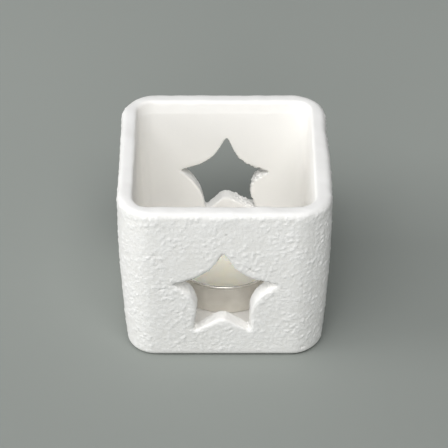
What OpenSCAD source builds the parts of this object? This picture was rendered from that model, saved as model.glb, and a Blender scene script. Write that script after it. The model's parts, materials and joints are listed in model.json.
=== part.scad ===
// Star-cut cube tealight holder, with the tealight that stands in it.
// Millimetres. +Z is up, the origin is the middle of the base, and the stars look along -Y and +Y.

/* [Holder] */
// Width across the side walls at their widest height
holder_w = 70; // [62:0.5:90]
// Height of the rim above the table
holder_h = 62; // [56:0.5:80]
// Thickness of the side walls
wall_t = 5.7; // [4.5:0.1:7]
// Thickness of the floor
floor_t = 6; // [4:0.1:8]
// How far each side draws in between its widest height and the base
base_draw = 2.3; // [0:0.1:3]
// Widest height, as a share of the whole height
belly_share = 0.75; // [0.6:0.05:0.9]
// Radius of the outer upright corners
corner_r = 12; // [8:0.1:13]
// Radius of the upright corners inside
cavity_corner_r = 5; // [4.8:0.1:7]
// Rounding of the edge that the holder stands on
foot_r = 2.5; // [2:0.1:5]
// Rounding along the outside of the rim
rim_r = 2; // [1:0.1:2.5]
// Rounding along the inside of the rim
lip_r = 0.8; // [0.6:0.1:2]
// Depth of the trimmed band inside the rim
trim_depth = 4.4; // [3:0.1:8]
// How far the trimmed band leans out
trim_lean = 0.4; // [0.1:0.1:0.8]

/* [Stars] */
// Distance from the middle of a star to its tips
star_r = 18; // [14:0.1:19]
// Distance from the middle of a star to its notches
notch_r = 10.1; // [7:0.1:11]
// Rounding of the notches
notch_fillet = 7; // [1:0.5:8]
// Height of the stars' middle above the table
star_z = 28.2; // [26:0.1:36]

/* [Tealight] */
// How far the tealight stands to the right of the middle
tealight_x = 0.7; // [-2:0.1:2]
// How far the tealight stands behind the middle
tealight_y = 0.5; // [-2:0.1:2]
// Height of the cup
cup_h = 13; // [11:0.5:18]
// Radius of the cup's foot
cup_foot_r = 17.9; // [17:0.1:18.2]
// Radius of the cup's wall just under its rolled rim
cup_top_r = 18.9; // [18.3:0.1:19.2]
// Thickness of the cup's sheet
sheet_t = 0.3; // [0.2:0.05:0.4]
// Radius of the wire-like roll along the cup's rim
bead_r = 0.4; // [0.3:0.05:0.6]
// Depth of the wax below the top of the rim
wax_drop = 1; // [0.5:0.1:3]
// Clearance between the wax and the cup's wall
wax_gap = 0.2; // [0.1:0.05:0.3]
// Radius of the braided wick
wick_r = 0.8; // [0.5:0.1:1]
// Length of wick above the wax
wick_free = 7.5; // [4:0.5:10]
// Radius of the wick's tin foot
sustainer_r = 6.2; // [4:0.1:8]
// Thickness of the tin
tin_t = 0.3; // [0.2:0.05:0.5]
// Height of the neck that grips the wick
neck_h = 4; // [3:0.5:6]

/* [Hidden] */
round_faces = 96;
corner_faces = 32;
small_gap = 0.05;
past = 1;
arc_step = 22.5;
draw_power = 1.6;
belly_z = holder_h * belly_share;
post_at = holder_w / 2 - corner_r;
cavity_post_at = holder_w / 2 - wall_t - cavity_corner_r;
cavity_floor_r = 2;
tealight_at = [tealight_x, tealight_y, floor_t];
wax_top = cup_h - wax_drop;

// The stars are cut by hand, so each corner is a little off the regular star: [to the right, up]
// for both stars seen from the front, clockwise from the top tip, a tip and a notch in turn
front_cut = [
    [0, -0.5], [0.2, -0.2], [1.8, -1.6], [-0.2, 0.2], [-1.2, -1.4],
    [-0.4, -0.4], [0.2, -1.4], [0.8, 0], [-0.8, -1.2], [-0.2, 0]
];
back_cut = [
    [1.2, 1.8], [0, 0.4], [0.2, -1.2], [-0.8, 1.6], [1.2, 2.2],
    [0.4, 3.6], [4.2, 1.6], [1, 0.4], [0.8, -0.6], [1.2, 1]
];

// How far the sides have drawn in at a height z, an even curve from the widest height down
function draw_in(z) = z < belly_z ? base_draw * pow(1 - z / belly_z, draw_power) : 0;

// A solid with four equal upright corners, each one the turned outline given
module four_posts(at, outline) {
    hull()
        for (x = [-at, at], y = [-at, at])
            translate([x, y, 0])
                rotate_extrude($fn = corner_faces)
                    polygon(outline);
}

// Outline of an outer corner: foot rounding, drawn-in side, straight neck and rolled rim edge
function outer_outline() = concat(
    [[0, 0]],
    [for (a = [0 : arc_step : 90])
        let (z = foot_r * (1 - cos(a)))
        [corner_r - draw_in(z) - foot_r * (1 - sin(a)), z]],
    [for (share = [0.3 : 0.175 : 1])
        let (z = belly_z * share)
        [corner_r - draw_in(z), z]],
    [for (a = [0 : arc_step : 90])
        [corner_r - rim_r * (1 - cos(a)), holder_h - rim_r * (1 - sin(a))]],
    [[0, holder_h]]
);

// Outline of a cavity corner, which follows the outside and has a rounded edge at the floor
function cavity_outline() = concat(
    [[0, floor_t]],
    [for (a = [0 : arc_step : 90])
        let (z = floor_t + cavity_floor_r * (1 - cos(a)))
        [cavity_corner_r - draw_in(z) - cavity_floor_r * (1 - sin(a)), z]],
    [for (share = [0.3 : 0.175 : 1])
        let (z = belly_z * share)
        [cavity_corner_r - draw_in(z), z]],
    [[cavity_corner_r, holder_h + past], [0, holder_h + past]]
);

// Outline of the band trimmed inside the rim
function trim_outline() = [
    [0, holder_h - trim_depth],
    [cavity_corner_r, holder_h - trim_depth],
    [cavity_corner_r + trim_lean, holder_h],
    [0, holder_h]
];

// Outline of the rounding along the inside of the rim, one straight facet of it
function lip_outline() = [
    [0, holder_h - lip_r],
    [cavity_corner_r + trim_lean, holder_h - lip_r],
    [cavity_corner_r + trim_lean + lip_r, holder_h],
    [0, holder_h]
];

// Five-pointed star with sharp tips and rounded notches, its corners moved as cut says
module star(cut) {
    offset(r = -notch_fillet, $fn = round_faces)
        offset(delta = notch_fillet)
            polygon([for (i = [0 : 9])
                let (r = i % 2 == 0 ? star_r : notch_r)
                [r * sin(36 * i), r * cos(36 * i)] + cut[i]]);
}

// Star-shaped cutter through the wall on the side given: -1 in front, 1 behind
module star_cutter(side, cut) {
    translate([0, side * (holder_w / 2 - wall_t / 2), star_z])
        rotate([90, 0, 0])
            linear_extrude(wall_t * 2, center = true)
                star(cut);
}

// One-piece casting: four walls and a floor, open above, with a star through the front and the back
module holder_body() {
    color([0.93, 0.93, 0.91])
        difference() {
            four_posts(post_at, outer_outline());
            four_posts(cavity_post_at, cavity_outline());
            four_posts(cavity_post_at, trim_outline());
            four_posts(cavity_post_at, lip_outline());
            star_cutter(-1, front_cut);
            star_cutter(1, back_cut);
        }
}

// Drawn cup of thin sheet with a rolled rim
module tealight_cup() {
    bead_z = cup_h - bead_r;
    color([0.80, 0.79, 0.76])
        translate(tealight_at)
            union() {
                rotate_extrude($fn = round_faces)
                    polygon([
                        [0, 0],
                        [cup_foot_r - 1, 0],
                        [cup_foot_r, 1],
                        [cup_top_r, bead_z],
                        [cup_top_r - sheet_t, bead_z],
                        [cup_foot_r - sheet_t, 1 + sheet_t / 2],
                        [cup_foot_r - 1 - sheet_t / 2, sheet_t],
                        [0, sheet_t]
                    ]);
                rotate_extrude($fn = round_faces)
                    translate([cup_top_r + bead_r / 2, bead_z])
                        circle(r = bead_r, $fn = corner_faces);
            }
}

// Wax cast in the cup, bored for the wick and recessed below for its foot
module wax_fill() {
    bottom = sheet_t;
    bore_r = wick_r + small_gap;
    top_slope = (cup_top_r - cup_foot_r) / (cup_h - bead_r - 1);
    top_r = cup_foot_r + top_slope * (wax_top - 1) - sheet_t - wax_gap;
    color([0.86, 0.82, 0.72])
        translate(tealight_at)
            rotate_extrude($fn = round_faces)
                polygon([
                    [sustainer_r + small_gap, bottom],
                    [cup_foot_r - 1 - sheet_t - wax_gap, bottom],
                    [cup_foot_r - sheet_t - wax_gap, bottom + 1],
                    [top_r, wax_top],
                    [bore_r, wax_top],
                    [bore_r, bottom + tin_t + neck_h + small_gap],
                    [bore_r + tin_t + 2 * small_gap, bottom + tin_t + neck_h + small_gap],
                    [bore_r + tin_t + 2 * small_gap, bottom + tin_t + small_gap],
                    [sustainer_r + small_gap, bottom + tin_t + small_gap]
                ]);
}

// Braided wick, held by the neck below and free above the wax
module wick() {
    color([0.93, 0.91, 0.86])
        translate(tealight_at + [0, 0, sheet_t])
            cylinder(r = wick_r, h = wax_top - sheet_t + wick_free, $fn = corner_faces);
}

// Tin foot: a flat disc with an upright neck around the wick
module wick_sustainer() {
    bore_r = wick_r + small_gap;
    color([0.70, 0.70, 0.68])
        translate(tealight_at + [0, 0, sheet_t])
            rotate_extrude($fn = round_faces)
                polygon([
                    [bore_r, 0],
                    [sustainer_r, 0],
                    [sustainer_r, tin_t],
                    [bore_r + tin_t, tin_t],
                    [bore_r + tin_t, tin_t + neck_h],
                    [bore_r, tin_t + neck_h]
                ]);
}

holder_body();
tealight_cup();
wax_fill();
wick();
wick_sustainer();
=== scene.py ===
import json
import math

import bmesh
import bpy
from bpy.props import FloatProperty, FloatVectorProperty, IntProperty, PointerProperty
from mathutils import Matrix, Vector

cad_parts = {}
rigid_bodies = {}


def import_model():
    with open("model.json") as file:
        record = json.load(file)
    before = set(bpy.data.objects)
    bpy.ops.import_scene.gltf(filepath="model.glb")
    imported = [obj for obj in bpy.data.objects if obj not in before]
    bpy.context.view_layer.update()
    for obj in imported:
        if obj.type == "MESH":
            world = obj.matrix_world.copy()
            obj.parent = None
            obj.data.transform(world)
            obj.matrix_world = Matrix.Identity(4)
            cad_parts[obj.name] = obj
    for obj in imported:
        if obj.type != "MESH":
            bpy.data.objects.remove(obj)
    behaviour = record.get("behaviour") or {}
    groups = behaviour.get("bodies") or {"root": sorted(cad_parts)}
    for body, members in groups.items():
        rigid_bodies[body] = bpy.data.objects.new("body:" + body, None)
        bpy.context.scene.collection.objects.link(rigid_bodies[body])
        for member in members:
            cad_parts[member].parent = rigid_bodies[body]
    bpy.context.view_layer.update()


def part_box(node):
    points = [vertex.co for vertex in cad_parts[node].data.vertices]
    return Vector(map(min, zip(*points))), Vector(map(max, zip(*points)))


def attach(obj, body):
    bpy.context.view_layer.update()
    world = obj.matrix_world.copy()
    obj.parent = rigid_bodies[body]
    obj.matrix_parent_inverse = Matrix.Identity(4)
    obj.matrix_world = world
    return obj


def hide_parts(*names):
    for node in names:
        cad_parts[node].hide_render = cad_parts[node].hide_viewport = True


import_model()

bl_info = {
    "name": "Star-cut tealight holder",
    "version": (1, 0, 0),
    "blender": (4, 5, 0),
    "location": "3D View > Sidebar > Tealight holder",
    "description": "Builds a stuccoed cube tealight holder with a tealight in it, piece by piece",
    "category": "Add Mesh",
}

MM = 0.001
TOUCH = 0.01 * MM

HOLDER_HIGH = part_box("holder_body")[1]
CUP_LOW, CUP_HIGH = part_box("tealight_cup")
WAX_LOW, WAX_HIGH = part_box("wax_fill")
WICK_LOW, WICK_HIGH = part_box("wick")
SUSTAINER_LOW, SUSTAINER_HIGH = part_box("wick_sustainer")

HALF = HOLDER_HIGH.x
RIM_Z = HOLDER_HIGH.z
TEALIGHT = Vector(((CUP_LOW.x + CUP_HIGH.x) / 2, (CUP_LOW.y + CUP_HIGH.y) / 2, CUP_LOW.z))

# How evenly the sides draw in, and the number of rings that shape them
DRAW_POWER = 1.6
DRAW_RINGS = 8
# A star has a tip or a notch at each of these turns, and narrows by this share through the wall
CORNER_DEGREES = 36
NARROWING = 0.05
# The hole for the wick through the wax and the tin foot
WICK_BORE = 0.85 * MM

# The lights stand on a ball round the holder: azimuth to the left of the front, elevation, side in metres
LIGHT_DISTANCE = 1.6
LIGHT_AIM = 0.03
LIGHTS = (
    ("left", 80, 20, 0.8), ("front", 5, 18, 0.9), ("high_left", 35, 55, 0.8), ("high_front", -10, 60, 0.8),
)
# The floor is painted lighter from near to far between these places: painted light, in place of light falling
# more strongly on the far floor
FLOOR_SIDE = 8
FLOOR_FADE = (-0.1, 0.2)
FLOOR_PAINTED_LIGHT = 1.25
AIM_RIGHT = 0.14 * MM
SENSOR_WIDTH = 36

# The darker colour that each finish drifts to, and the colour of its specks
CASTING_TONES = ((0.89, 0.883, 0.864), (0.72, 0.69, 0.64))
FOIL_TONES = ((0.87, 0.84, 0.78), (0.5, 0.48, 0.45))
WAX_TONES = ((0.93, 0.89, 0.765), (0.6, 0.5, 0.36))
COTTON_TONES = ((0.74, 0.69, 0.6), (0.5, 0.45, 0.38))
TIN_TONES = ((0.5, 0.5, 0.47), (0.3, 0.28, 0.25))

# The stars are cut by hand: how far each corner lies off the regular star, to the right and up in
# millimetres, seen from the front, clockwise from the top tip, a tip and a notch in turn
FRONT_CUT = (
    (0, -0.5), (0.2, -0.2), (1.8, -1.6), (-0.2, 0.2), (-1.2, -1.4),
    (-0.4, -0.4), (0.2, -1.4), (0.8, 0), (-0.8, -1.2), (-0.2, 0),
)
BACK_CUT = (
    (1.2, 1.8), (0, 0.4), (0.2, -1.2), (-0.8, 1.6), (1.2, 2.2),
    (0.4, 3.6), (4.2, 1.6), (1, 0.4), (0.8, -0.6), (1.2, 1),
)
# How far the knife slipped on the far face of a wall, seen from the front: corner, right, up
FRONT_SLIPS = ((2, -2.4, 0.3), (4, -0.7, -2.0), (5, 0, -1.3), (6, 0.1, -2.8), (8, 3.4, 0.4))
BACK_SLIPS = ((2, -3.0, 0.4), (4, 2.3, -0.6), (8, 1.0, 0.1))
# Marks pressed into the outside: start, end (right of the middle, height, in millimetres), width, depth
FRONT_MARKS = (
    ((-18.4, 31.4), (-21.4, 30.6), 0.5, 0.22),
    ((19.4, 31.0), (21.0, 30.6), 0.5, 0.2),
    ((8.6, 39.6), (10.2, 37.8), 0.45, 0.5),
    ((6.9, 40.4), (7.7, 40.1), 0.4, 0.3),
    ((26.2, 3.6), (26.8, 3.6), 0.6, 0.5),
    ((-22.9, 45.2), (-22.3, 45.0), 0.5, 0.4),
)


# ---------------------------------------------------------------- modelling by hand

def deselect():
    """Leaves nothing selected, so that an operator acts on the new piece alone."""
    for other in bpy.context.selected_objects:
        other.select_set(False)


def shape(name):
    """Names the primitive just added, puts its place in its mesh and opens it for shaping."""
    piece = bpy.context.object
    piece.name = piece.data.name = name
    bpy.ops.object.transform_apply(location=True, rotation=True, scale=True)
    bpy.ops.object.mode_set(mode="EDIT")
    return piece


def leave(smooth=True):
    """Ends shaping: faces turned outwards, then back to the object."""
    bpy.ops.mesh.select_all(action="SELECT")
    bpy.ops.mesh.normals_make_consistent(inside=False)
    bpy.ops.object.mode_set(mode="OBJECT")
    if smooth:
        bpy.ops.object.shade_smooth()


def pick(kind, test):
    """Selects only the vertices, edges or faces that pass a test."""
    bpy.ops.mesh.select_mode(type=kind)
    bpy.ops.mesh.select_all(action="DESELECT")
    data = bpy.context.edit_object.data
    mesh = bmesh.from_edit_mesh(data)
    parts = {"VERT": mesh.verts, "EDGE": mesh.edges, "FACE": mesh.faces}[kind]
    for part in parts:
        if test(part):
            part.select_set(True)
    mesh.select_flush_mode()
    bmesh.update_edit_mesh(data)


def level_at(height):
    """A test for edges that lie flat at a height."""
    return lambda edge: all(abs(vert.co.z - height) < TOUCH for vert in edge.verts)


def apply_modifier(piece, kind, **settings):
    """Adds a modifier with its settings to a piece and applies it."""
    deselect()
    piece.select_set(True)
    bpy.context.view_layer.objects.active = piece
    bpy.ops.object.modifier_add(type=kind)
    modifier = piece.modifiers[-1]
    for setting, value in settings.items():
        setattr(modifier, setting, value)
    bpy.ops.object.modifier_apply(modifier=modifier.name)


def cut_away(piece, cutter):
    """Cuts the shape of one piece out of another and throws the cutter away."""
    apply_modifier(piece, "BOOLEAN", object=cutter, operation="DIFFERENCE", solver="EXACT")
    bpy.data.objects.remove(cutter)


def arc(radius, height, bend, start, end, steps):
    """Points (radius, height) along an arc of a turned profile, from one angle to another in degrees."""
    angles = (math.radians(start + (end - start) * i / steps) for i in range(steps + 1))
    return [(radius + bend * math.cos(a), height + bend * math.sin(a)) for a in angles]


def lathe(name, profile, sides, closed=False):
    """Turns a profile of (radius, height above the tealight's foot) about the tealight's axis."""
    deselect()
    radius, height = profile[0]
    bpy.ops.mesh.primitive_circle_add(
        vertices=sides,
        radius=radius,
        fill_type="NOTHING" if closed else "NGON",
        location=TEALIGHT + Vector((0, 0, height)),
    )
    piece = shape(name)
    bpy.ops.mesh.select_mode(type="EDGE")
    bpy.ops.mesh.select_all(action="SELECT")
    for next_radius, next_height in profile[1:] + (profile[:1] if closed else []):
        bpy.ops.mesh.extrude_edges_move(TRANSFORM_OT_translate={"value": (0, 0, next_height - height)})
        share = next_radius / radius
        centre = TEALIGHT + Vector((0, 0, next_height))
        bpy.ops.transform.resize(value=(share, share, 1), center_override=centre)
        radius, height = next_radius, next_height
    if closed:
        bpy.ops.mesh.select_all(action="SELECT")
        bpy.ops.mesh.remove_doubles(threshold=TOUCH)
    else:
        bpy.ops.mesh.edge_face_add()
    leave()
    return piece


# ---------------------------------------------------------------- nodes

def fill(tree, node, inputs):
    """Gives each input of a node a value or another node's output."""
    for socket, value in inputs.items():
        if isinstance(value, bpy.types.NodeSocket):
            tree.links.new(value, node.inputs[socket])
        else:
            node.inputs[socket].default_value = value


def put(tree, kind, inputs=None, **settings):
    """Adds one node with its settings and inputs, next to the others in rows of nine."""
    node = tree.nodes.new(kind)
    row, column = divmod(len(tree.nodes), 9)
    node.location = (190 * column, -230 * row)
    for setting, value in settings.items():
        setattr(node, setting, value)
    fill(tree, node, inputs or {})
    return node


def math_node(tree, operation, *values):
    """The result of one sum on numbers."""
    return put(tree, "ShaderNodeMath", dict(enumerate(values)), operation=operation).outputs[0]


def product(tree, first, *others):
    """All the numbers multiplied together."""
    for other in others:
        first = math_node(tree, "MULTIPLY", first, other)
    return first


def centred(tree, value):
    """A value from 0 to 1 moved down, so that its middle is 0."""
    return math_node(tree, "SUBTRACT", value, 0.5)


def vector_node(tree, operation, *values):
    """The result of one sum on vectors: a number for a dot product or a length."""
    node = put(tree, "ShaderNodeVectorMath", dict(enumerate(values)), operation=operation)
    return node.outputs["Value" if operation in ("DOT_PRODUCT", "LENGTH") else "Vector"]


def scaled(tree, vector, factor):
    """A vector made longer or shorter."""
    return put(tree, "ShaderNodeVectorMath", {0: vector, "Scale": factor}, operation="SCALE").outputs[0]


def split(tree, vector):
    """The X, Y and Z of a vector."""
    return put(tree, "ShaderNodeSeparateXYZ", {0: vector}).outputs


def mixed(tree, factor, first, second):
    """A colour on the way from one to another."""
    inputs = {"Factor": factor, "A": first, "B": second}
    return put(tree, "ShaderNodeMix", inputs, data_type="RGBA").outputs["Result"]


def bump(tree, strength, distance, height, under=None):
    """The normals that a height gives, over other normals where there are any."""
    inputs = {"Strength": strength, "Distance": distance, "Height": height}
    if under is not None:
        inputs["Normal"] = under
    return put(tree, "ShaderNodeBump", inputs).outputs[0]


def fade(tree, value, low, high, start=0.0, end=1.0):
    """Turns a value smoothly from start, at low, to end, at high."""
    inputs = {0: value, 1: low, 2: high, 3: start, 4: end}
    return put(tree, "ShaderNodeMapRange", inputs, interpolation_type="SMOOTHSTEP").outputs[0]


def noise(tree, place, size, detail=2.0, roughness=0.5, distortion=0.0):
    """Soft noise, from about 0.2 to 0.8, with features of a size in metres."""
    inputs = {
        "Vector": place, "Scale": 1 / size, "Detail": detail,
        "Roughness": roughness, "Distortion": distortion,
    }
    return put(tree, "ShaderNodeTexNoise", inputs).outputs[0]


def stretched(tree, place, along, share):
    """Positions pressed together along a direction, so that a pattern made on them is drawn out."""
    inward = vector_node(tree, "DOT_PRODUCT", place, along)
    return vector_node(tree, "SUBTRACT", place, scaled(tree, scaled(tree, along, inward), share))


def open_group(name, kind, inputs, outputs):
    """A new node group with named sockets, each given as (name, socket type, default)."""
    group = bpy.data.node_groups.new(name, kind)
    for in_out, sockets in (("INPUT", inputs), ("OUTPUT", outputs)):
        for socket, socket_type, default in sockets:
            made = group.interface.new_socket(name=socket, in_out=in_out, socket_type=socket_type)
            if default is not None:
                made.default_value = default
    start = group.nodes.new("NodeGroupInput")
    end = group.nodes.new("NodeGroupOutput")
    return group, start.outputs, end.inputs


def use_group(tree, name, inputs):
    """Places a finished node group in a material with the material's own values."""
    return put(tree, "ShaderNodeGroup", inputs, node_tree=bpy.data.node_groups[name]).outputs


# ---------------------------------------------------------------- settings

def size(label, text, default):
    """A length in metres that a user may change."""
    return FloatProperty(
        name=label, description=text, default=default, min=0,
        subtype="DISTANCE", unit="LENGTH", precision=5,
    )


def angle(label, text, degrees):
    """An angle that a user may change."""
    return FloatProperty(
        name=label, description=text, default=math.radians(degrees), subtype="ANGLE", unit="ROTATION"
    )


def power(label, text, default):
    """The power of a light in watts."""
    return FloatProperty(
        name=label, description=text, default=default, min=0, subtype="POWER", unit="POWER"
    )


def colour(label, text, default):
    """A colour that a user may change."""
    return FloatVectorProperty(
        name=label, description=text, default=default, size=3, min=0, max=1, subtype="COLOR"
    )


class HolderSettings(bpy.types.PropertyGroup):
    """Sizes and colours of the casting"""
    wall: size("Wall", "Thickness of the side walls", 5.7 * MM)
    floor: size("Floor", "Thickness of the floor", CUP_LOW.z)
    draw: size("Draw", "How far each side draws in from its widest height to the base", 2.3 * MM)
    belly_share: FloatProperty(
        name="Widest height", description="As a share of the whole height",
        default=0.75, min=0.3, max=0.95, subtype="FACTOR",
    )
    corner: size("Corner", "Radius of the outer upright corners", 12 * MM)
    cavity_corner: size("Cavity corner", "Radius of the upright corners inside", 5 * MM)
    foot: size("Foot rounding", "Rounding of the edge that the holder stands on", 2.5 * MM)
    rim: size("Rim rounding", "Rounding along the outside of the rim", 2 * MM)
    lip: size("Lip rounding", "Rounding along the inside of the rim", 0.8 * MM)
    trim_depth: size("Trim depth", "Depth of the trimmed band inside the rim", 4.4 * MM)
    trim_lean: size("Trim lean", "How far the trimmed band leans out", 0.5 * MM)
    star: size("Star", "Distance from the middle of a star to its tips", 18 * MM)
    notch: size("Notch", "Distance from the middle of a star to its notches", 10.1 * MM)
    notch_cut: size("Notch rounding", "How far from each notch its rounding starts", 5 * MM)
    crown_cut: size("Crown rounding", "How far from the bottom notch its rounding starts", 2 * MM)
    star_height: size("Star height", "Height of the stars' middle", 28.2 * MM)
    lump: size("Lump", "Width of the stucco's lumps", 1.5 * MM)
    relief: size("Relief", "Height of the stucco's lumps", 0.2 * MM)
    swell: size("Swell", "How far the right side bulges out in front", 0.75 * MM)
    chip: size("Chips", "How ragged the knife left the stars' cut faces", 0.55 * MM)
    wobble: size("Wobble", "How uneven the hand-finished rim is", 0.35 * MM)
    grid: size("Grid", "Spacing of the faces while the casting is shaped", 0.42 * MM)
    faces: IntProperty(
        name="Faces", description="Most triangles that the casting keeps", default=190000, min=20000
    )
    body: colour("Body", "Colour of the casting", (0.905, 0.90, 0.884))
    # Hollow: painted shade, the darker colour given to the low parts of the stucco.
    hollow: colour("Hollow", "Colour in the stucco's hollows", (0.85, 0.84, 0.81))
    # Inside: painted light, the same casting painted lighter on the smooth inside walls and floor, standing
    # in for the light that bounces round the cavity.
    inside: colour("Inside", "Colour of the smooth inside", (0.965, 0.953, 0.925))


class TealightSettings(bpy.types.PropertyGroup):
    """Sizes and colours of the tealight"""
    sheet: size("Sheet", "Thickness of the cup's sheet", 0.3 * MM)
    bead: size("Bead", "Radius of the roll along the cup's rim", 0.4 * MM)
    foot_bend: size("Foot bend", "Radius of the bend between the cup's floor and wall", 1 * MM)
    wax_gap: size("Wax gap", "Clearance between the wax and the cup's wall", 0.2 * MM)
    strand: size("Strand", "Radius of each of the wick's three strands", 0.33 * MM)
    pitch: size("Plait", "Height of one turn of the wick's plait", 3.2 * MM)
    lean: size("Lean", "How far the top of the wick leans back", 1 * MM)
    foil: colour("Foil", "Colour of the cup", (0.93, 0.90, 0.84))
    wax: colour("Wax", "Colour of the wax", (0.95, 0.915, 0.80))
    cotton: colour("Cotton", "Colour of the wick", (0.84, 0.81, 0.74))
    tin: colour("Tin", "Colour of the wick's foot", (0.56, 0.56, 0.54))


class StageSettings(bpy.types.PropertyGroup):
    """Floor, light and camera"""
    floor: colour("Floor", "Colour of the floor", (0.282, 0.300, 0.282))
    sky: colour("Sky", "Colour of the light from all round", (0.96, 0.98, 1.0))
    sky_strength: FloatProperty(
        name="Sky strength", description="Strength of the light from all round", default=0.15, min=0
    )
    left: power("Left light", "Power of the low light on the left", 12.2)
    front: power("Front light", "Power of the low light in front", 6.4)
    high_left: power("High left light", "Power of the high light in front, to the left", 7.6)
    high_front: power("High front light", "Power of the high light in front", 10.2)
    azimuth: angle("Azimuth", "How far the camera stands to the left of the front", 0)
    elevation: angle("Elevation", "How far the camera looks down", 37.6)
    distance: size("Distance", "From the camera to the point it looks at", 0.784)
    aim_height: size("Aim", "Height of the point that the camera looks at", 31.6 * MM)
    lens: FloatProperty(name="Lens", description="Focal length", default=183.6, min=1, unit="CAMERA")


# ---------------------------------------------------------------- shared effects

def grain_effect():
    """Fine grain in two sizes, as on plaster, wax, cotton or metal: a value and a height."""
    group, given, result = open_group(
        "grain", "ShaderNodeTree",
        [
            ("Place", "NodeSocketVector", None), ("Size", "NodeSocketFloat", 0.001),
            ("Contrast", "NodeSocketFloat", 0.5),
        ],
        [("Value", "NodeSocketFloat", None), ("Height", "NodeSocketFloat", None)],
    )
    place = scaled(group, given["Place"], math_node(group, "DIVIDE", 1.0, given["Size"]))
    coarse = put(group, "ShaderNodeTexNoise", {"Vector": place, "Scale": 1.0, "Detail": 4.0}).outputs[0]
    fine = put(group, "ShaderNodeTexNoise", {
        "Vector": place, "Scale": 3.7, "Detail": 2.0, "Roughness": 0.6,
    }).outputs[0]
    both = math_node(group, "MULTIPLY_ADD", fine, 0.4, product(group, coarse, 0.6))
    value = math_node(group, "MULTIPLY_ADD", centred(group, both), given["Contrast"], 0.5)
    group.links.new(value, result["Value"])
    group.links.new(both, result["Height"])


def clouding_effect():
    """Slow drift between two colours, with a few specks of a third, as on cast or dyed things."""
    group, given, result = open_group(
        "clouding", "ShaderNodeTree",
        [
            ("Place", "NodeSocketVector", None), ("Size", "NodeSocketFloat", 0.02),
            ("Light", "NodeSocketColor", (0.8, 0.8, 0.8, 1)), ("Dark", "NodeSocketColor", (0.7, 0.7, 0.7, 1)),
            ("Speck", "NodeSocketColor", (0.5, 0.5, 0.5, 1)), ("Specks", "NodeSocketFloat", 0.0),
        ],
        [("Color", "NodeSocketColor", None)],
    )
    place = scaled(group, given["Place"], math_node(group, "DIVIDE", 1.0, given["Size"]))
    slow = put(group, "ShaderNodeTexNoise", {"Vector": place, "Scale": 1.0, "Detail": 3.0}).outputs[0]
    base = mixed(group, fade(group, slow, 0.35, 0.65), given["Dark"], given["Light"])
    dots = put(group, "ShaderNodeTexVoronoi", {"Vector": place, "Scale": 9.0}).outputs["Distance"]
    seldom = put(group, "ShaderNodeTexNoise", {"Vector": place, "Scale": 4.0, "Detail": 1.0}).outputs[0]
    near = product(group, fade(group, dots, 0.16, 0.06), fade(group, seldom, 0.6, 0.66))
    speckled = mixed(group, product(group, near, given["Specks"]), base, given["Speck"])
    group.links.new(speckled, result["Color"])


def open_material(name):
    """A new material: its tree, its shader and the object's own coordinates."""
    material = bpy.data.materials.new(name)
    material.use_nodes = True
    tree = material.node_tree
    shader = tree.nodes["Principled BSDF"]
    place = put(tree, "ShaderNodeTexCoord").outputs["Object"]
    return material, tree, shader, place


def opaque(rgb):
    """A colour with its alpha."""
    return (*rgb, 1.0)


def clouded(tree, place, size, light, tones, specks):
    """The clouding of a finish: the size of its clouds, its colours and how strong its specks are."""
    dark, speck = tones
    return use_group(tree, "clouding", {
        "Place": place, "Size": size, "Light": opaque(light),
        "Dark": opaque(dark), "Speck": opaque(speck), "Specks": specks,
    })["Color"]


def grained(tree, place, size, contrast=1.0):
    """The grain of a finish: its value and its height."""
    return use_group(tree, "grain", {"Place": place, "Size": size, "Contrast": contrast})


# ---------------------------------------------------------------- the holder

def draw_in(height, holder):
    """How far the sides have drawn in at a height, an even curve from the widest height down."""
    belly = RIM_Z * holder.belly_share
    return holder.draw * (1 - height / belly) ** DRAW_POWER if height < belly else 0.0


def ringed_block(name, half, corner, bottom, top, heights, spread):
    """A square block with rounded upright corners: at each height the corners are wider or tighter."""
    deselect()
    middle = (0, 0, (bottom + top) / 2)
    bpy.ops.mesh.primitive_cube_add(size=1, location=middle)
    bpy.ops.transform.resize(value=(2 * half, 2 * half, top - bottom), center_override=middle)
    block = shape(name)
    pick("EDGE", lambda edge: abs(edge.verts[0].co.z - edge.verts[1].co.z) > TOUCH)
    bpy.ops.mesh.bevel(offset=corner, segments=9, affect="EDGES")
    for height in heights:
        bpy.ops.mesh.select_all(action="SELECT")
        bpy.ops.mesh.bisect(plane_co=(0, 0, height), plane_no=(0, 0, 1))
    post = half - corner
    for height in [bottom, *heights, top]:
        share = 1 + spread(height) / corner
        for side_x, side_y in ((-1, -1), (-1, 1), (1, -1), (1, 1)):
            pick("VERT", lambda vert: (
                abs(vert.co.z - height) < TOUCH and vert.co.x * side_x > 0 and vert.co.y * side_y > 0
            ))
            centre = (side_x * post, side_y * post, height)
            bpy.ops.transform.resize(value=(share, share, 1), center_override=centre)
    return block


def outside(holder):
    """The holder's outer shape, solid: drawn in towards the base, rounded at foot and rim."""
    belly = RIM_Z * holder.belly_share
    heights = [belly * i / DRAW_RINGS for i in range(2, DRAW_RINGS + 1)]
    block = ringed_block(
        "holder", HALF, holder.corner, 0, RIM_Z, heights, lambda height: -draw_in(height, holder)
    )
    pick("EDGE", level_at(0))
    bpy.ops.mesh.bevel(offset=holder.foot, segments=8, affect="EDGES")
    pick("EDGE", level_at(RIM_Z))
    bpy.ops.mesh.bevel(offset=holder.rim, segments=6, affect="EDGES")
    leave()
    return block


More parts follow.
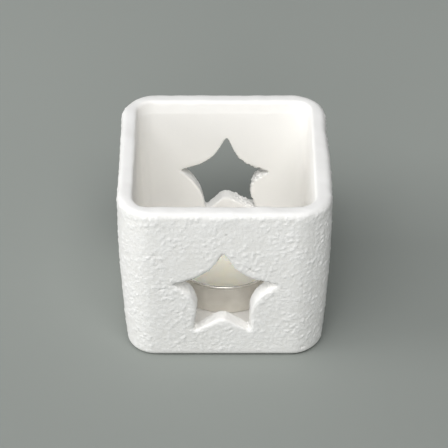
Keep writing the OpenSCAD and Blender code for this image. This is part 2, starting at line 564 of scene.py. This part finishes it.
def cavity(holder):
    """The hollow inside: it follows the outside, and opens a little in a trimmed band below the lip."""
    half = HALF - holder.wall
    belly = RIM_Z * holder.belly_share
    trim = RIM_Z - holder.trim_depth
    trim_step = 0.12 * MM
    above_rim = RIM_Z + 2 * MM
    floor_bend = 2 * MM
    lip_steps = 6

    def spread(height):
        if height <= trim + TOUCH:
            return -draw_in(height, holder)
        lean = trim_step + holder.trim_lean * (height - trim) / holder.trim_depth
        into_lip = min(max(height - RIM_Z + holder.lip, 0), holder.lip)
        return lean + holder.lip - math.sqrt(holder.lip ** 2 - into_lip ** 2)

    heights = [belly * i / DRAW_RINGS for i in range(3, DRAW_RINGS + 1)] + [trim, trim + trim_step]
    heights += [RIM_Z - holder.lip * (1 - i / lip_steps) for i in range(lip_steps + 1)]
    block = ringed_block("cavity", half, holder.cavity_corner, holder.floor, above_rim, heights, spread)
    pick("EDGE", level_at(holder.floor))
    bpy.ops.mesh.bevel(offset=floor_bend, segments=5, affect="EDGES")
    leave()
    return block


def star_corner(vert, holder):
    """Which corner of the star a vertex belongs to, counted clockwise from the top tip."""
    turn = math.atan2(vert.co.x, vert.co.z - holder.star_height)
    return round(turn / math.radians(CORNER_DEGREES)) % (360 // CORNER_DEGREES)


def star_cutter(name, side, cut, slips, holder):
    """A tapered star through the wall on one side, -1 in front and 1 behind, with rounded notches."""
    past = 1.2 * MM
    tip_stretch = 0.5 * MM
    taper = NARROWING / holder.wall
    outer, inner = HALF + past, HALF - holder.wall - past * 2
    deselect()
    bpy.ops.mesh.primitive_circle_add(
        vertices=360 // CORNER_DEGREES, radius=holder.star, fill_type="NGON",
        location=(0, side * outer, holder.star_height), rotation=(math.radians(90), 0, 0),
    )
    cutter = shape(name)
    for corner, (right, up) in enumerate(cut):
        turn = math.radians(CORNER_DEGREES * corner)
        pull = (holder.notch - holder.star) if corner % 2 else tip_stretch
        pick("VERT", lambda vert: star_corner(vert, holder) == corner)
        bpy.ops.transform.translate(
            value=(pull * math.sin(turn) + right * MM, 0, pull * math.cos(turn) + up * MM)
        )
    bpy.ops.mesh.select_all(action="SELECT")
    bpy.ops.mesh.extrude_region_move(TRANSFORM_OT_translate={"value": (0, side * (inner - outer), 0)})
    share = 1 - taper * (outer - inner)
    bpy.ops.transform.resize(
        value=(share, 1, share), center_override=(0, side * inner, holder.star_height)
    )
    far_end = side * (inner if side < 0 else outer)
    for corner, right, up in slips:
        pick("VERT", lambda vert: abs(vert.co.y - far_end) < TOUCH and star_corner(vert, holder) == corner)
        bpy.ops.transform.translate(value=(right * MM, 0, up * MM))
    for notches, rounding in (((1, 3, 7, 9), holder.notch_cut), ((5,), holder.crown_cut)):
        pick("EDGE", lambda edge: (
            abs(edge.verts[0].co.y - edge.verts[1].co.y) > MM
            and all(star_corner(vert, holder) in notches for vert in edge.verts)
        ))
        bpy.ops.mesh.bevel(offset=rounding, segments=8, affect="EDGES")
    leave()
    return cutter


def stuccoed_walls(group, place, height, outward):
    """A mask of the outer faces, from just above the foot up to an uneven line just below the rim."""
    wander = centred(group, noise(group, place, 6 * MM))
    edge = math_node(group, "MULTIPLY_ADD", wander, 1.6 * MM, height)
    walls = fade(group, outward, 0.3 * HALF, 0.7 * HALF)
    below_rim = fade(group, edge, RIM_Z, RIM_Z - 1.2 * MM)
    above_foot = fade(group, height, 0.8 * MM, 3 * MM)
    return product(group, below_rim, above_foot, walls)


def plaster_lumps(group, place, lump):
    """Round lumps, with small ones and pits between them, drawn out aslant and patchy in strength."""
    drawn = stretched(group, place, (0.48, 0.48, 0.734), 0.3)
    ragged = put(group, "ShaderNodeTexNoise", {"Vector": place, "Scale": 1 / (2 * MM), "Detail": 1.0})
    shifted = vector_node(group, "ADD", drawn, scaled(group, ragged.outputs["Color"], 1.4 * MM))
    spots = put(group, "ShaderNodeTexVoronoi", {"Vector": shifted, "Scale": 1 / lump}).outputs["Distance"]
    lumps = fade(group, spots, 0.52, 0.12)
    small = fade(group, noise(group, drawn, lump * 0.55, 1.0), 0.5, 0.66)
    pits = fade(group, noise(group, drawn, lump * 0.8, 1.0, 0.5, 0.4), 0.4, 0.3)
    patches = fade(group, noise(group, place, lump * 5, 1.0), 0.36, 0.62, 0.45, 1.1)
    drift = centred(group, noise(group, place, 14 * MM, 1.0))
    raised = math_node(group, "MULTIPLY_ADD", small, 0.4, lumps)
    raised = math_node(group, "MULTIPLY_ADD", pits, -0.5, raised)
    return math_node(group, "MULTIPLY_ADD", drift, 0.3, product(group, raised, patches))


def rim_waver(group, place, height, wobble):
    """The slow unevenness of the hand-finished rim."""
    near_rim = fade(group, height, RIM_Z - 8 * MM, RIM_Z - 3 * MM)
    uneven = centred(group, noise(group, place, 7 * MM, 2.0))
    return product(group, uneven, near_rim, wobble * 2)


def knife_chips(group, place, normal, holder):
    """The raggedness of the stars' cut faces, strongest on the right of the back star."""
    at = split(group, place)
    from_middle = put(group, "ShaderNodeCombineXYZ", {
        "X": at["X"], "Z": math_node(group, "SUBTRACT", at["Z"], holder.star_height),
    }).outputs[0]
    away = vector_node(group, "LENGTH", from_middle)
    in_star = fade(group, away, holder.star + 3 * MM, holder.star + MM)
    wall_inside = HALF - holder.wall
    depth = math_node(group, "ABSOLUTE", at["Y"])
    in_wall = fade(group, depth, wall_inside - 1.5 * MM, wall_inside + 0.3 * MM)
    across = math_node(group, "ABSOLUTE", split(group, normal)["Y"])
    on_cut = product(group, in_star, in_wall, fade(group, across, 0.92, 0.6))
    crumbled = product(group, fade(group, at["X"], 2 * MM, 7 * MM), fade(group, at["Y"], 0.0, 10 * MM))
    crumbs = centred(group, noise(group, place, MM, 2.0))
    chipped = product(group, math_node(group, "MULTIPLY_ADD", crumbled, 4.2, 1.0), holder.chip)
    return product(group, crumbs, on_cut, chipped)


def right_swell(group, place, holder):
    """How the right side bulges out in front."""
    at = split(group, place)
    outer_right = fade(group, at["X"], HALF - holder.wall, HALF - MM)
    in_front = fade(group, at["Y"], 0.4 * HALF, -0.05 * HALF)
    bulge = product(group, outer_right, in_front, holder.swell)
    return put(group, "ShaderNodeCombineXYZ", {"X": bulge}).outputs[0]


def stucco(holder):
    """Geometry nodes that raise the stucco, wave the rim, chip the cuts and swell the right side."""
    group, given, result = open_group(
        "stucco", "GeometryNodeTree",
        [("Geometry", "NodeSocketGeometry", None)], [("Geometry", "NodeSocketGeometry", None)],
    )
    place = put(group, "GeometryNodeInputPosition").outputs[0]
    normal = put(group, "GeometryNodeInputNormal").outputs[0]
    height = split(group, place)["Z"]
    level_normal = vector_node(group, "MULTIPLY", normal, (1.0, 1.0, 0.0))
    outward = vector_node(group, "DOT_PRODUCT", level_normal, place)
    mask = stuccoed_walls(group, place, height, outward)
    raised = plaster_lumps(group, place, holder.lump)
    lift = product(group, math_node(group, "SUBTRACT", raised, 0.35), holder.relief)
    waver = rim_waver(group, place, height, holder.wobble)
    chips = knife_chips(group, place, normal, holder)
    total = math_node(group, "ADD", math_node(group, "MULTIPLY_ADD", lift, mask, waver), chips)
    offset = vector_node(group, "ADD", scaled(group, normal, total), right_swell(group, place, holder))

    # Where the smooth inside lies, walls and floor, for the painted light there.
    facing_up = fade(group, split(group, normal)["Z"], 0.5, 0.9)
    in_floor = product(group, facing_up, fade(group, height, 40 * MM, 30 * MM))
    in_walls = fade(group, outward, -0.05 * HALF, -0.5 * HALF)
    # The relief and stuccoed masks also set where the painted shade darkens the stucco's hollows.
    masks = {
        "relief": product(group, raised, mask),
        "stuccoed": mask,
        "inside": math_node(group, "MAXIMUM", in_walls, in_floor),
    }
    kept = given["Geometry"]
    for name, value in masks.items():
        kept = put(
            group, "GeometryNodeStoreNamedAttribute", {"Geometry": kept, "Name": name, "Value": value},
            data_type="FLOAT", domain="POINT",
        ).outputs[0]
    moved = put(group, "GeometryNodeSetPosition", {"Geometry": kept, "Offset": offset}).outputs[0]
    group.links.new(moved, result["Geometry"])
    return group


def soften_star(side, holder):
    """Wears the outer edge of a star round."""
    worn = 1.6 * MM
    reach = holder.star + 3 * MM
    lowest = 8 * MM
    bpy.ops.object.mode_set(mode="EDIT")

    def on_edge(vert):
        depth = HALF - draw_in(vert.co.z, holder) - vert.co.y * side
        return (
            depth < worn
            and abs(vert.normal.y) < 0.93
            and abs(vert.co.x) < reach
            and lowest < vert.co.z < holder.star_height + reach
        )

    pick("VERT", on_edge)
    bpy.ops.mesh.select_more()
    bpy.ops.mesh.vertices_smooth(factor=0.5, repeat=7)
    bpy.ops.object.mode_set(mode="OBJECT")


def press_marks(side, marks):
    """Presses short marks into the outer face on one side."""
    near_face = HALF - 4 * MM
    bpy.ops.object.mode_set(mode="EDIT")
    for start, end, width, depth in marks:
        first, last = (Vector((right * MM, height * MM)) for right, height in (start, end))
        along = last - first

        def on_mark(vert):
            if vert.co.y * side < near_face:
                return False
            spot = Vector((vert.co.x, vert.co.z))
            share = min(max((spot - first).dot(along) / along.length_squared, 0), 1)
            return (spot - first - along * share).length < width * MM / 2

        pick("VERT", on_mark)
        bpy.ops.transform.translate(
            value=(0, -side * depth * MM, 0), use_proportional_edit=True,
            proportional_edit_falloff="SMOOTH", proportional_size=width * MM,
        )
    bpy.ops.object.mode_set(mode="OBJECT")


def plaster(holder):
    """Matt white casting: faint clouding, painted shade in the stucco's hollows, painted light on the smooth
    inside and a fine dry grain.
    """
    material, tree, shader, place = open_material("white_casting")
    relief, stuccoed, inside = (
        put(tree, "ShaderNodeAttribute", attribute_name=name).outputs["Fac"]
        for name in ("relief", "stuccoed", "inside")
    )
    tone = clouded(tree, place, 18 * MM, holder.body, CASTING_TONES, 0.35)
    # Painted shade: the colour darkens towards the hollow colour where the stucco relief is low.
    hollows = product(tree, fade(tree, relief, 0.28, -0.15, 0.0, 0.8), stuccoed)
    painted_hollow_shade = mixed(tree, hollows, tone, opaque(holder.hollow))
    dry = grained(tree, place, 0.9 * MM, 0.5)
    powder = grained(tree, place, 0.28 * MM)
    pores = put(tree, "ShaderNodeTexVoronoi", {"Vector": place, "Scale": 1 / (1.6 * MM)}).outputs["Distance"]
    pinholes = fade(tree, pores, 0.16, 0.05, 0.0, -1.6)
    fine = bump(tree, 0.35, 0.06 * MM, math_node(tree, "ADD", powder["Height"], pinholes))
    crumbs = fade(tree, noise(tree, place, 0.7 * MM, 3.0), 0.44, 0.66)
    # Painted light: the smooth inside takes the lighter inside colour.
    fill(tree, shader, {
        "Base Color": mixed(tree, inside, painted_hollow_shade, opaque(holder.inside)),
        "Roughness": math_node(tree, "MULTIPLY_ADD", dry["Value"], 0.2, 0.72),
        "Specular IOR Level": 0.35,
        "Normal": bump(tree, 0.8, 0.055 * MM, product(tree, crumbs, stuccoed), fine),
    })
    return material


class HOLDER_OT_body(bpy.types.Operator):
    """Make the white casting with its star windows and stuccoed outside"""
    bl_idname = "star_holder.body"
    bl_label = "Casting"
    bl_options = {"REGISTER", "UNDO"}

    def execute(self, context):
        holder = context.scene.star_holder
        piece = outside(holder)
        cut_away(piece, cavity(holder))
        cut_away(piece, star_cutter("front_star", -1, FRONT_CUT, FRONT_SLIPS, holder))
        cut_away(piece, star_cutter("back_star", 1, BACK_CUT, BACK_SLIPS, holder))
        apply_modifier(piece, "REMESH", mode="VOXEL", voxel_size=holder.grid, use_smooth_shade=True)
        apply_modifier(piece, "SMOOTH", factor=0.5, iterations=4)
        for side in (-1, 1):
            soften_star(side, holder)
        apply_modifier(piece, "NODES", node_group=stucco(holder))
        press_marks(-1, FRONT_MARKS)
        triangles = 2 * len(piece.data.polygons)
        apply_modifier(piece, "DECIMATE", ratio=min(1, holder.faces / triangles))
        bpy.ops.object.shade_smooth()
        piece.data.materials.append(plaster(holder))
        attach(piece, "holder")
        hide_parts("holder_body")
        return {"FINISHED"}


# ---------------------------------------------------------------- the tealight

def foil(tealight):
    """Drawn aluminium: upright drawing marks, small smudges and a satin shine, brighter on the rolled rim."""
    material, tree, shader, place = open_material("satin_foil")
    at = split(tree, vector_node(tree, "SUBTRACT", place, tuple(TEALIGHT)))
    turn = math_node(tree, "ARCTAN2", at["Y"], at["X"])
    marks_round, marks_up = 40.0, 60.0
    around = put(tree, "ShaderNodeCombineXYZ", {
        "X": product(tree, math_node(tree, "COSINE", turn), marks_round),
        "Y": product(tree, math_node(tree, "SINE", turn), marks_round),
        "Z": product(tree, at["Z"], marks_up),
    }).outputs[0]
    streaks = put(tree, "ShaderNodeTexNoise", {
        "Vector": around, "Scale": 1.2, "Detail": 4.0, "Roughness": 0.6,
    }).outputs[0]
    smudge = grained(tree, place, 4 * MM)["Value"]
    both = math_node(tree, "MULTIPLY_ADD", streaks, 0.18, product(tree, smudge, 0.16))
    roll = CUP_HIGH.z - CUP_LOW.z - 2 * tealight.bead
    rolled = fade(tree, at["Z"], roll - 0.1 * MM, roll + 0.1 * MM, 1.0, 0.4)
    fill(tree, shader, {
        "Base Color": clouded(tree, place, 6 * MM, tealight.foil, FOIL_TONES, 0.3),
        "Metallic": 0.8,
        "Roughness": product(tree, math_node(tree, "ADD", both, 0.36), rolled),
        "Normal": bump(tree, 0.25, 0.05 * MM, streaks),
    })
    return material


class HOLDER_OT_cup(bpy.types.Operator):
    """Make the tealight's drawn cup with its rolled rim"""
    bl_idname = "star_holder.cup"
    bl_label = "Tealight cup"
    bl_options = {"REGISTER", "UNDO"}

    def execute(self, context):
        tealight = context.scene.star_tealight
        top = CUP_HIGH.z - CUP_LOW.z
        bead, sheet, bend = tealight.bead, tealight.sheet, tealight.foot_bend
        bead_at = (CUP_HIGH.x - CUP_LOW.x) / 2 - bead
        wall_top = bead_at - bead / 2
        foot = wall_top - bend
        stamp = 0.12 * MM
        steps = 6
        base = [
            (1 * MM, stamp), (11.6 * MM, stamp), (12 * MM, 0), (13 * MM, 0),
            (13.4 * MM, stamp), (14.4 * MM, stamp), (14.8 * MM, 0),
        ]
        outer = arc(foot - bend, bend, bend, -90, 0, steps)
        slope = [
            (foot + (wall_top - foot) * i / steps, bend + (top - bead - bend) * i / steps)
            for i in range(1, steps)
        ]
        roll = arc(bead_at, top - bead, bead, -123, 165, 14)
        inner_slope = [(r - sheet, z) for r, z in reversed(slope)]
        inner = arc(foot - bend, bend, bend - sheet, 0, -90, 5)
        profile = base + outer + slope + roll + inner_slope + inner + [(1 * MM, sheet)]
        piece = lathe("cup", profile, 144)
        piece.data.materials.append(foil(tealight))
        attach(piece, "tealight")
        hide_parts("tealight_cup")
        return {"FINISHED"}


def wax_material(tealight):
    """Cream wax: light sinks in a little, the surface is faintly mottled and satin."""
    material, tree, shader, place = open_material("cream_wax")
    bloom = grained(tree, place, 2 * MM)
    fill(tree, shader, {
        "Base Color": clouded(tree, place, 7 * MM, tealight.wax, WAX_TONES, 0.15),
        "Subsurface Weight": 0.4,
        "Subsurface Radius": (1.0, 0.7, 0.4),
        "Subsurface Scale": 1.5 * MM,
        "Roughness": math_node(tree, "MULTIPLY_ADD", bloom["Value"], 0.25, 0.35),
        "Normal": bump(tree, 0.2, 0.05 * MM, bloom["Height"]),
    })
    return material


class HOLDER_OT_wax(bpy.types.Operator):
    """Make the wax, with its raised edge, its rise round the wick and the room for the tin foot"""
    bl_idname = "star_holder.wax"
    bl_label = "Wax"
    bl_options = {"REGISTER", "UNDO"}

    def execute(self, context):
        tealight = context.scene.star_tealight
        bottom = WAX_LOW.z - TEALIGHT.z + 2 * TOUCH
        top = WAX_HIGH.z - TEALIGHT.z
        edge = (WAX_HIGH.x - WAX_LOW.x) / 2
        slack = 0.05 * MM
        hole = (SUSTAINER_HIGH.x - SUSTAINER_LOW.x) / 2 + slack
        room = bottom + tealight.sheet + slack
        neck = SUSTAINER_HIGH.z - TEALIGHT.z + slack
        socket = WICK_BORE + 0.4 * MM
        height_to_lean = 12.2
        low_edge = edge - (top - bottom) / height_to_lean
        steps = 6
        side = [
            (low_edge + (edge - low_edge) * i / steps, bottom + MM + (top - bottom - MM) * i / steps)
            for i in range(steps + 1)
        ]
        widest, narrowest = edge - 0.35 * MM, 1.2 * MM
        sunk, edge_climb, edge_reach = 0.12 * MM, 0.34 * MM, 0.8 * MM
        wick_at, wick_climb, wick_reach = 1.1 * MM, 0.7 * MM, 0.9 * MM
        rings = 16
        face = []
        for i in range(rings + 1):
            radius = widest + (narrowest - widest) * i / rings
            climb = edge_climb * math.exp(-(edge - radius) / edge_reach)
            rise = wick_climb * math.exp(-(radius - wick_at) / wick_reach)
            face.append((radius, top + climb + rise - sunk))
        profile = (
            [(hole, bottom), (low_edge - 0.9 * MM, bottom), (low_edge - 0.3 * MM, bottom + 0.3 * MM)]
            + side + [(edge + TOUCH, top + 0.3 * MM)] + face
            + [(WICK_BORE, top + 0.5 * MM), (WICK_BORE, neck), (socket, neck), (socket, room), (hole, room)]
        )
        piece = lathe("wax", profile, 96, closed=True)
        piece.data.materials.append(wax_material(tealight))
        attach(piece, "candle")
        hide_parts("wax_fill")
        return {"FINISHED"}


def cotton(tealight):
    """Waxed cotton: pale, fibrous along the strands and a little glossy."""
    material, tree, shader, place = open_material("waxed_cotton")
    drawn_up = vector_node(tree, "MULTIPLY", place, (1.0, 1.0, 0.25))
    fibres = grained(tree, drawn_up, 0.12 * MM)
    fill(tree, shader, {
        "Base Color": clouded(tree, place, 1.2 * MM, tealight.cotton, COTTON_TONES, 0.4),
        "Roughness": math_node(tree, "MULTIPLY_ADD", fibres["Value"], 0.3, 0.5),
        "Sheen Weight": 0.2,
        "Normal": bump(tree, 0.6, 0.05 * MM, fibres["Height"]),
    })
    return material


def strand(name, phase, tealight):
    """One strand of the wick's plait, drawn up ring by ring from a small circle."""
    bottom, top = WICK_LOW.z, WICK_HIGH.z
    wax_top = WAX_HIGH.z
    swing, crossing = 0.42 * MM, 0.2 * MM
    rings_a_turn = 10
    rings = int((top - bottom) / (tealight.pitch / rings_a_turn))

    def middle(ring):
        height = bottom + (top - bottom) * ring / rings
        turn = 2 * math.pi * (height - bottom) / tealight.pitch + phase
        free = max(height - wax_top, 0) / (top - wax_top)
        return Vector((
            TEALIGHT.x + swing * math.sin(turn),
            TEALIGHT.y + crossing * math.sin(2 * turn) + tealight.lean * free ** 2,
            height,
        ))

    deselect()
    bpy.ops.mesh.primitive_circle_add(
        vertices=10, radius=tealight.strand, fill_type="NGON", location=middle(0)
    )
    piece = shape(name)
    for ring in range(1, rings + 1):
        bpy.ops.mesh.extrude_region_move(TRANSFORM_OT_translate={"value": middle(ring) - middle(ring - 1)})
        if ring > rings - 2:
            bpy.ops.transform.resize(value=(0.7, 0.7, 1), center_override=middle(ring))
    leave()
    return piece


class HOLDER_OT_wick(bpy.types.Operator):
    """Make the wick, three waxed cotton strands plaited together"""
    bl_idname = "star_holder.wick"
    bl_label = "Wick"
    bl_options = {"REGISTER", "UNDO"}

    def execute(self, context):
        tealight = context.scene.star_tealight
        strands = [strand(f"strand_{i}", 2 * math.pi * i / 3, tealight) for i in range(3)]
        for other in strands:
            other.select_set(True)
        bpy.ops.object.join()
        piece = context.object
        piece.name = piece.data.name = "plaited_wick"
        piece.data.materials.append(cotton(tealight))
        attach(piece, "candle")
        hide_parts("wick")
        return {"FINISHED"}


def tin(tealight):
    """Tinned sheet: dull, with fine rolling scratches."""
    material, tree, shader, place = open_material("dull_tin")
    rolled = vector_node(tree, "MULTIPLY", place, (0.08, 1.0, 1.0))
    scratches = grained(tree, rolled, 0.2 * MM)
    fill(tree, shader, {
        "Base Color": clouded(tree, place, 3 * MM, tealight.tin, TIN_TONES, 0.5),
        "Metallic": 1.0,
        "Roughness": math_node(tree, "MULTIPLY_ADD", scratches["Value"], 0.35, 0.25),
        "Normal": bump(tree, 0.3, 0.02 * MM, scratches["Height"]),
    })
    return material


class HOLDER_OT_sustainer(bpy.types.Operator):
    """Make the tin foot that holds the wick upright, with its neck pinched round the wick"""
    bl_idname = "star_holder.sustainer"
    bl_label = "Wick sustainer"
    bl_options = {"REGISTER", "UNDO"}

    def execute(self, context):
        tealight = context.scene.star_tealight
        base = SUSTAINER_LOW.z - TEALIGHT.z + 2 * TOUCH
        top = SUSTAINER_HIGH.z - TEALIGHT.z
        edge = (SUSTAINER_HIGH.x - SUSTAINER_LOW.x) / 2
        thick = 0.3 * MM
        upper = base + thick
        outer = WICK_BORE + thick
        steps = 5
        profile = (
            [(WICK_BORE + 0.25 * MM, base), (edge - 0.1 * MM, base)]
            + arc(edge - thick / 2, base + thick / 2, thick / 2, -60, 60, 4)
            + [(edge - 0.5 * MM, upper), (edge - MM, base + thick * 0.75), (edge - 1.5 * MM, upper)]
            + [(outer + 0.5 * MM, upper), (outer, upper + 0.03 * MM)]
            + [(outer, upper + (top - upper) * i / steps) for i in range(1, steps)]
            + [(outer, top - 0.1 * MM), (WICK_BORE + thick / 2, top)]
            + [(WICK_BORE, top - 0.1 * MM), (WICK_BORE, base + 0.25 * MM)]
        )
        piece = lathe("sustainer", profile, 64, closed=True)
        piece.data.materials.append(tin(tealight))
        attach(piece, "candle")
        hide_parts("wick_sustainer")
        return {"FINISHED"}


# ---------------------------------------------------------------- the stage

def paper(stage):
    """Matt grey-green card, painted a little lighter far away as painted light."""
    material, tree, shader, place = open_material("grey_green_card")
    # Painted light: the far floor takes a lighter copy of the floor colour.
    far = fade(tree, split(tree, place)["Y"], *FLOOR_FADE)
    lighter = opaque(FLOOR_PAINTED_LIGHT * part for part in stage.floor)
    fill(tree, shader, {
        "Base Color": mixed(tree, far, opaque(stage.floor), lighter),
        "Roughness": 0.95,
        "Specular IOR Level": 0.1,
    })
    return material


def direction(azimuth, elevation):
    """The unit vector towards a viewing side: azimuth 0 is the front, and grows to the left."""
    level = math.cos(elevation)
    return Vector((-math.sin(azimuth) * level, -math.cos(azimuth) * level, math.sin(elevation)))


def soft_light(name, watts, azimuth, elevation, side):
    """A large square light that faces the holder."""
    towards = direction(azimuth, elevation)
    place = Vector((0, 0, LIGHT_AIM)) + towards * LIGHT_DISTANCE
    deselect()
    bpy.ops.object.light_add(
        type="AREA", location=place, rotation=(-towards).to_track_quat("-Z", "Y").to_euler()
    )
    light = bpy.context.object
    light.name = light.data.name = name
    light.data.size = side
    light.data.energy = watts
    return light


class HOLDER_OT_stage(bpy.types.Operator):
    """Set the floor, the soft light and the camera"""
    bl_idname = "star_holder.stage"
    bl_label = "Stage"
    bl_options = {"REGISTER", "UNDO"}

    def execute(self, context):
        stage = context.scene.star_stage
        scene = context.scene
        deselect()
        bpy.ops.mesh.primitive_plane_add(size=FLOOR_SIDE, location=(0, 0, 0))
        floor = shape("floor")
        leave(smooth=False)
        floor.data.materials.append(paper(stage))
        world = bpy.data.worlds.new("sky")
        world.use_nodes = True
        scene.world = world
        background = world.node_tree.nodes["Background"]
        background.inputs["Color"].default_value = opaque(stage.sky)
        background.inputs["Strength"].default_value = stage.sky_strength
        for name, azimuth, elevation, side in LIGHTS:
            soft_light(name, getattr(stage, name), math.radians(azimuth), math.radians(elevation), side)
        aim = Vector((AIM_RIGHT, 0, stage.aim_height))
        back = direction(stage.azimuth, stage.elevation)
        turn = (-back).to_track_quat("-Z", "Y").to_euler()
        deselect()
        bpy.ops.object.camera_add(location=aim + back * stage.distance, rotation=turn)
        camera = context.object
        camera.name = camera.data.name = "camera"
        camera.data.lens = stage.lens
        camera.data.sensor_width = SENSOR_WIDTH
        camera.data.dof.use_dof = False
        scene.camera = camera
        scene.view_settings.view_transform = "Standard"
        scene.view_settings.look = "None"
        return {"FINISHED"}


class HOLDER_OT_effects(bpy.types.Operator):
    """Make the grain and clouding that the materials share"""
    bl_idname = "star_holder.effects"
    bl_label = "Shared effects"
    bl_options = {"REGISTER", "UNDO"}

    def execute(self, context):
        grain_effect()
        clouding_effect()
        return {"FINISHED"}


class HOLDER_PT_panel(bpy.types.Panel):
    """Steps and settings of the tealight holder"""
    bl_idname = "HOLDER_PT_panel"
    bl_label = "Tealight holder"
    bl_space_type = "VIEW_3D"
    bl_region_type = "UI"
    bl_category = "Tealight holder"

    def draw(self, context):
        for step in STEPS:
            self.layout.operator(step.bl_idname)
        for settings in (context.scene.star_holder, context.scene.star_tealight, context.scene.star_stage):
            box = self.layout.box()
            for name in settings.__annotations__:
                box.prop(settings, name)


STEPS = (
    HOLDER_OT_effects, HOLDER_OT_body, HOLDER_OT_cup, HOLDER_OT_wax,
    HOLDER_OT_wick, HOLDER_OT_sustainer, HOLDER_OT_stage,
)
CLASSES = (HolderSettings, TealightSettings, StageSettings, *STEPS, HOLDER_PT_panel)


def register():
    for part in CLASSES:
        bpy.utils.register_class(part)
    bpy.types.Scene.star_holder = PointerProperty(type=HolderSettings)
    bpy.types.Scene.star_tealight = PointerProperty(type=TealightSettings)
    bpy.types.Scene.star_stage = PointerProperty(type=StageSettings)


def unregister():
    del bpy.types.Scene.star_stage
    del bpy.types.Scene.star_tealight
    del bpy.types.Scene.star_holder
    for part in reversed(CLASSES):
        bpy.utils.unregister_class(part)


def main():
    """Builds every piece and the stage."""
    register()
    bpy.ops.star_holder.effects()
    bpy.ops.star_holder.body()
    bpy.ops.star_holder.cup()
    bpy.ops.star_holder.wax()
    bpy.ops.star_holder.wick()
    bpy.ops.star_holder.sustainer()
    bpy.ops.star_holder.stage()


if __name__ == "__main__":
    main()
